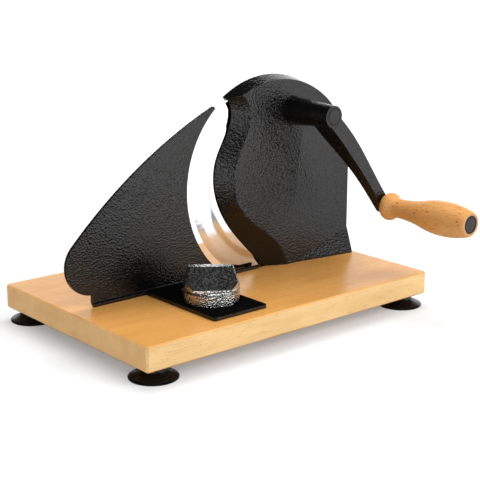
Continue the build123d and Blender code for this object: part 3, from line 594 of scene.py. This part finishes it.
def walls_seen(shader, direction):
    """How white the studio shows in gloss that way: white in front, dark to the back left."""
    halved = shader.node("ShaderNodeVectorMath", operation="MULTIPLY_ADD")
    shader.link(direction, halved.inputs[0])
    halved.inputs[1].default_value = (0.5, 0.5, 0.5)
    halved.inputs[2].default_value = (0.5, 0.5, 0.5)
    across, along = shader.parts(halved.outputs[0])[:2]
    right = shader.ramp(across, (0.50, 0.09), (0.66, 1.0))
    left = shader.ramp(across, (0.26, 1.0), (0.38, 0.0))
    front = shader.ramp(along, (0.2, 1.0), (0.35, 0.0))
    depth = shader.ramp(along, (0.08, 1.0), (0.18, 0.55), (0.5, 0.50), (0.75, 0.60))
    sides = shader.math("MAXIMUM", right, shader.math("MULTIPLY", left, front))
    return shader.math("MULTIPLY", sides, depth)


def pale_floor():
    """A wide white floor: it keeps the shadow, and far off it glows up to plain white; in gloss
    it glows by itself, dimmed near the object by a painted shadow.
    """
    shape = bmesh.new()
    bmesh.ops.create_grid(shape, x_segments=1, y_segments=1, size=FLOOR_REACH)
    floor = piece_from(shape, "floor")
    material = bpy.data.materials.new("floor_white")
    material.use_nodes = True
    paper = Nodes(material.node_tree)
    paper.tree.nodes.remove(paper.tree.nodes["Principled BSDF"])
    place = paper.node("ShaderNodeTexCoord").outputs["Object"]
    reach = paper.node("ShaderNodeVectorMath", operation="LENGTH")
    paper.link(place, reach.inputs[0])
    way = paper.node("ShaderNodeVectorMath", operation="NORMALIZE")
    paper.link(place, way.inputs[0])
    bounce = paper.node("ShaderNodeBsdfDiffuse")
    bounce.inputs["Color"].default_value = (0.66, 0.66, 0.66, 1)
    matt = paper.node("ShaderNodeBsdfDiffuse")
    matt.inputs["Color"].default_value = (0.615, 0.630, 0.642, 1)
    far_glow = paper.ramp(reach.outputs["Value"], (0.25, 0.23), (0.45, 0.31), (1.0, 0.62))
    eye = paper.node("ShaderNodeAddShader")
    paper.link(matt.outputs[0], eye.inputs[0])
    paper.link(paper.glowing(far_glow), eye.inputs[1])
    # In gloss the floor glows instead of being lit, so a painted shadow dims it near the object.
    painted_shadow_in_gloss = paper.ramp(reach.outputs["Value"], (0.20, 0.20), (0.27, 0.85), (0.85, 1.0))
    seen = paper.math("MULTIPLY", painted_shadow_in_gloss, walls_seen(paper, way.outputs[0]))
    sheen = paper.glowing(paper.math("MULTIPLY", seen, GLOSS_WHITE))
    path = paper.node("ShaderNodeLightPath")
    plain = paper.blend(path.outputs["Is Camera Ray"], bounce.outputs[0], eye.outputs[0])
    whole = paper.blend(path.outputs["Is Glossy Ray"], plain, sheen)
    paper.link(whole, paper.tree.nodes["Material Output"].inputs["Surface"])
    coat(floor, material)


def studio_world():
    """Even light all round; the eye sees white, and gloss sees walls under a dark ceiling."""
    world = bpy.data.worlds.new("studio")
    bpy.context.scene.world = world
    world.use_nodes = True
    studio = Nodes(world.node_tree)
    studio.tree.nodes.clear()

    def backdrop(strength):
        made = studio.node("ShaderNodeBackground")
        made.inputs["Color"].default_value = WHITE
        studio.feed(strength, made.inputs["Strength"])
        return made.outputs[0]

    direction = studio.node("ShaderNodeTexCoord").outputs["Generated"]
    height = studio.parts(direction)[UP]
    walls = studio.ramp(height, (0.0, 1.0), (0.33, 1.0), (0.50, 0.12), (0.62, 0.02))
    walls = studio.math("MULTIPLY", walls, walls_seen(studio, direction))
    overhead = studio.ramp(height, (0.86, 0.0), (0.97, 0.05))
    seen = studio.math("MAXIMUM", walls, overhead)
    mirrored = backdrop(studio.math("MULTIPLY", seen, GLOSS_WHITE))
    path = studio.node("ShaderNodeLightPath")
    gloss = studio.blend(path.outputs["Is Glossy Ray"], backdrop(EVEN_LIGHT), mirrored)
    eye = studio.blend(path.outputs["Is Camera Ray"], gloss, backdrop(1.0))
    studio.link(eye, studio.node("ShaderNodeOutputWorld").inputs["Surface"])


def soft_lamp(name, place, size, power):
    """A rectangle of light that points at the object and stays out of its gloss."""
    lamp = bpy.data.lights.new(name, "AREA")
    lamp.shape = "RECTANGLE"
    lamp.size, lamp.size_y = size
    lamp.energy = power
    stand = bpy.data.objects.new(name, lamp)
    stand.location = place
    stand.rotation_euler = (Vector(MIDDLE) - Vector(place)).to_track_quat("-Z", "Y").to_euler()
    stand.visible_glossy = False
    bpy.context.scene.collection.objects.link(stand)


def photo_camera():
    """The camera stands where the photograph's outline of the object puts it."""
    turned = math.radians(-40.4105)
    raised = math.radians(14.7429)
    rolled = math.radians(0.0995)
    focal_length = 83.888
    from_board_corner = Vector((-0.4756, -0.6698, 0.3022))
    board_low, board_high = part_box("base_board")
    front_left_top = Vector((board_low.x, board_low.y, board_high.z))
    level = math.cos(raised)
    back = Vector((math.sin(turned) * level, -math.cos(turned) * level, math.sin(raised)))
    lens = bpy.data.cameras.new("camera")
    lens.sensor_width = 36.0
    lens.lens = focal_length
    camera = bpy.data.objects.new("camera", lens)
    camera.location = front_left_top + from_board_corner
    aim = (-back).to_track_quat("-Z", "Y") @ Quaternion((0, 0, 1), rolled)
    camera.rotation_euler = aim.to_euler()
    bpy.context.scene.collection.objects.link(camera)
    bpy.context.scene.camera = camera


pale_floor()
studio_world()
soft_lamp("top_softbox", (0.25, 0.35, 1.2), (0.9, 0.6), 9.0)
soft_lamp("front_softbox", (0.7, -1.1, 0.75), (0.9, 0.9), 11.2)
photo_camera()
bpy.context.scene.view_settings.view_transform = "Standard"
